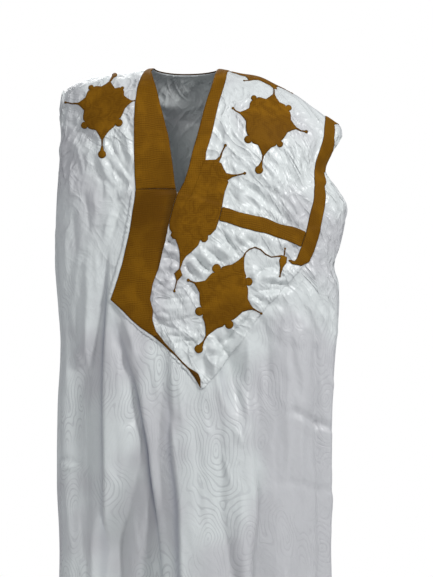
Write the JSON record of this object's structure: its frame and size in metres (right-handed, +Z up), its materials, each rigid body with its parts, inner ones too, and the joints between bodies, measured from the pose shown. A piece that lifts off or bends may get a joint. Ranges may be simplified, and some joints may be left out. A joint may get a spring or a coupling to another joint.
{
  "type": "grand boubou robe",
  "caption": "Wide open-sided white damask robe, worn and hollow, with a V neck, brown embroidered neck, chest and pocket bands, and lobed lozenge motifs.",
  "frame": {"origin": "middle of the neck opening, level with the points where the neck meets the shoulders", "axes": "+Z up, -Y towards the front, +X towards the wearer's left"},
  "size_m": [0.6541, 0.3597, 1.4925],
  "materials": {
    "damask": "white glazed damask with a sheen",
    "thread": "dense brown satin-stitch embroidery"
  },
  "bodies": {
    "root": {"front_panel": "damask", "back_panel": "damask", "chest_pocket": "damask", "neck_band_right": "thread", "neck_band_left": "thread", "neck_band_back": "thread", "placket_band": "thread", "centre_motif": "thread", "pocket_band": "thread", "shoulder_band": "thread", "shoulder_motif_right": "thread", "chest_motif_left": "thread", "pocket_motif": "thread", "back_motif_left": "thread"}
  },
  "joints": []
}
